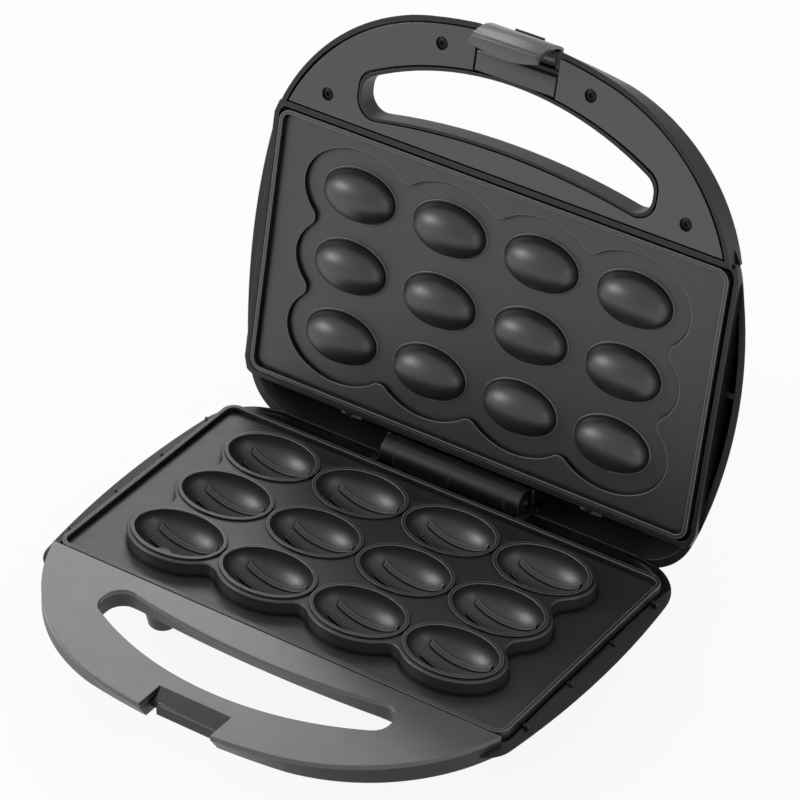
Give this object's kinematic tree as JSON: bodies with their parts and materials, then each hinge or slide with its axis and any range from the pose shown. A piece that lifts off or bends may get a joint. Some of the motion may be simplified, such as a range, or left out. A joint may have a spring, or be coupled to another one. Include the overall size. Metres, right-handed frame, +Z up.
{
  "type": "walnut cookie maker",
  "caption": "Hinged electric mould press with a ridged lower plate, a domed upper plate, looped handles and a swinging latch.",
  "frame": {"origin": "middle of the whole part's box, on the table under the feet, with the lid open as pictured", "axes": "+X to the user's right along the hinge pin, +Y from the handles to the hinge, +Z up"},
  "size_m": [0.2524, 0.2756, 0.247],
  "materials": {
    "dark_plastic": "fine-textured satin moulding",
    "satin_plastic": "smooth semi-gloss moulding",
    "coated_aluminium": "die-cast with dark non-stick coating",
    "element_steel": "drawn sheath",
    "sprung_steel": "cold-rolled strip",
    "aluminised_steel": "pressed sheet",
    "screw_steel": "black-oxide thread-forming screw",
    "pin_steel": "ground rod",
    "ceramic_body": "moulded phenolic and steatite",
    "rubber_feet": "moulded rubber",
    "red_lens": "clear tinted moulding",
    "green_lens": "clear tinted moulding",
    "lamp_glass": "drawn glass"
  },
  "bodies": {
    "base": {"base_housing": "dark_plastic", "base_handle_cover": "dark_plastic", "lower_plate": "coated_aluminium", "lower_element": "element_steel", "lower_element_straps": "sprung_steel", "lower_strap_screws": "screw_steel", "lower_heat_shield": "aluminised_steel", "lower_shield_screws": "screw_steel", "thermostat": "ceramic_body", "lower_thermal_fuse": "element_steel", "terminal_block": "ceramic_body", "inlet_bush": "rubber_feet", "base_screws": "screw_steel", "foot_pads": "rubber_feet", "hinge_pin": "pin_steel"},
    "lid": {"lid_shell": "dark_plastic", "lid_handle_panel": "dark_plastic", "handle_panel_screws": "screw_steel", "upper_plate": "coated_aluminium", "upper_element": "element_steel", "upper_element_straps": "sprung_steel", "upper_strap_screws": "screw_steel", "upper_heat_shield": "aluminised_steel", "upper_shield_screws": "screw_steel", "upper_plate_screws": "screw_steel", "upper_thermal_fuse": "element_steel", "power_lens": "red_lens", "ready_lens": "green_lens", "power_lamp": "lamp_glass", "ready_lamp": "lamp_glass", "latch_pin": "pin_steel"},
    "latch": {"latch": "satin_plastic"}
  },
  "joints": [
    {"name": "lid_hinge", "type": "hinge", "parent": "base", "child": "lid", "pos_m": [0, 0.06874, 0.04295], "axis": [1, 0, 0], "range_deg": [0, 102.1]},
    {"name": "latch_pivot", "type": "hinge", "parent": "lid", "child": "latch", "pos_m": [0, 0.1166, 0.23785], "axis": [-1, 0, 0], "range_deg": [-10, 30]}
  ]
}
